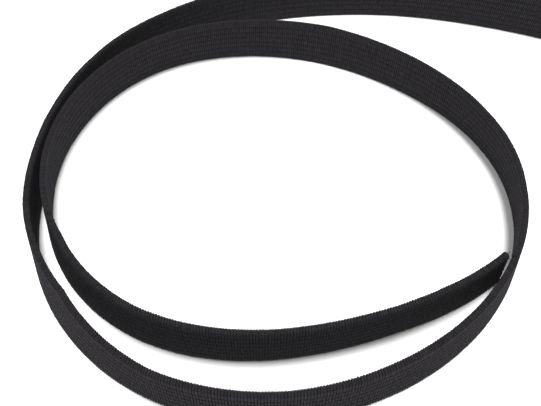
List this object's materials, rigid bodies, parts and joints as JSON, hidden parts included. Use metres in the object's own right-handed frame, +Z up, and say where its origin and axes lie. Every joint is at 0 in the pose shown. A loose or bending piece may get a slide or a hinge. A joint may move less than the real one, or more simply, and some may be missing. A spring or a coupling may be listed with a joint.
{
  "type": "length of flat woven elastic in loose turns",
  "caption": "Cut length of flat black woven elastic, standing on its edge in one and a half loose turns with a curving tail.",
  "frame": {"origin": "middle of the bottom of the bounding box, on the surface that the tape's lower edge stands on", "axes": "+Z up, across the width of the tape; +X towards the outer cut end of the tail; -Y towards the near side of the turns"},
  "size_m": [0.1839, 0.1276, 0.012],
  "materials": {
    "black_elastic": "matte"
  },
  "bodies": {
    "root": {"elastic_tape": "black_elastic"}
  },
  "joints": []
}
